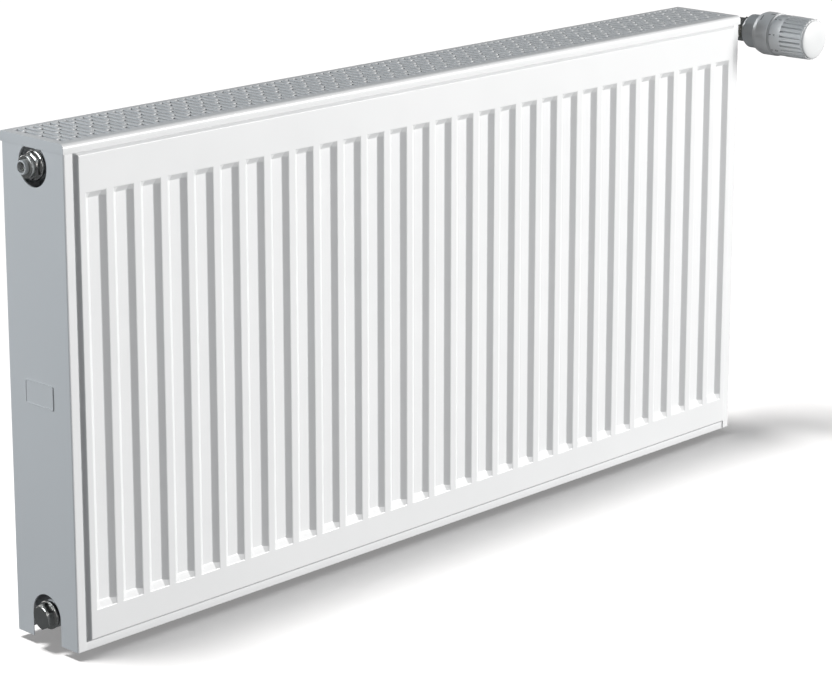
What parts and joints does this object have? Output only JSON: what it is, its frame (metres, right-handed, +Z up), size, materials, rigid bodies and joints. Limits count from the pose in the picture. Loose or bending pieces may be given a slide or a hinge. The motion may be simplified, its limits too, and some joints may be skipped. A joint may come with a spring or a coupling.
{
  "type": "radiator with valve",
  "caption": "Wall-hung double-panel steel radiator with pressed flutes, slotted top grille, side covers, vent plug, blank plug and a thermostatic valve at its top right port.",
  "frame": {"origin": "mid-length of the panels, on the plane of the hanging lugs' outer faces, level with the panels' lower edge", "axes": "+X along the length towards the valve, +Y towards the wall, +Z up"},
  "size_m": [1.0971, 0.173, 0.5],
  "materials": {
    "paint": "gloss white stoved enamel",
    "inner_paint": "thin white primer on folded sheet",
    "nickel": "bright nickel plate",
    "brass": "machined brass",
    "spring_steel": "drawn spring wire",
    "seal": "black EPDM rubber",
    "white_plastic": "satin moulded plastic",
    "grey_plastic": "light grey moulded plastic",
    "aluminium": "drawn can"
  },
  "bodies": {
    "radiator": {"front_panel_face_sheet": "paint", "front_panel_back_sheet": "paint", "rear_panel_inner_sheet": "paint", "rear_panel_outer_sheet": "paint", "front_convector": "inner_paint", "rear_convector": "inner_paint", "port_tee_bottom_left": "paint", "port_tee_top_left": "paint", "port_tee_bottom_right": "paint", "port_tee_top_right": "paint", "left_side_cover": "paint", "right_side_cover": "paint", "badge_plate": "paint", "top_grille": "paint", "hanging_lug_lower_left": "paint", "hanging_lug_upper_left": "paint", "hanging_lug_lower_right": "paint", "hanging_lug_upper_right": "paint", "blank_plug": "nickel", "blank_plug_seal": "seal", "vent_plug": "nickel", "vent_plug_seal": "seal", "valve_body": "nickel", "valve_tail": "nickel", "union_nut": "nickel", "inlet_nut": "nickel", "inlet_olive": "brass", "valve_insert": "nickel", "gland_nut": "brass", "gland_o_ring": "seal", "valve_spring": "spring_steel", "head_nut": "grey_plastic", "head_base": "white_plastic"},
    "knob": {"head_knob": "white_plastic", "head_end_cap": "white_plastic"},
    "valve_stem": {"sensor_capsule": "aluminium", "sensor_plunger": "grey_plastic", "overload_spring": "spring_steel", "valve_pin": "spring_steel", "valve_disc_holder": "brass", "valve_disc": "seal"},
    "vent_collar": {"vent_collar": "nickel", "vent_nose_ring": "white_plastic"},
    "vent_screw": {"vent_screw": "nickel"}
  },
  "joints": [
    {"name": "knob_turn", "type": "hinge", "parent": "radiator", "child": "knob", "pos_m": [0.557, -0.15, 0.473], "axis": [0, -1, 0], "range_deg": [-113, 177]},
    {"name": "stem_slide", "type": "slide", "parent": "radiator", "child": "valve_stem", "axis": [0, -1, 0], "range_m": [-0.001, 0.0016], "deforming": ["valve_spring", "overload_spring"]},
    {"name": "vent_collar_turn", "type": "hinge", "parent": "radiator", "child": "vent_collar", "pos_m": [-0.508, -0.057, 0.473], "axis": [-1, 0, 0], "continuous": true},
    {"name": "vent_screw_turn", "type": "hinge", "parent": "radiator", "child": "vent_screw", "pos_m": [-0.508, -0.057, 0.473], "axis": [-1, 0, 0], "range_deg": [0, 360]}
  ],
  "couplings": [
    {"joint": "stem_slide", "follows": "knob_turn", "m_per_rad": 0.0005}
  ]
}
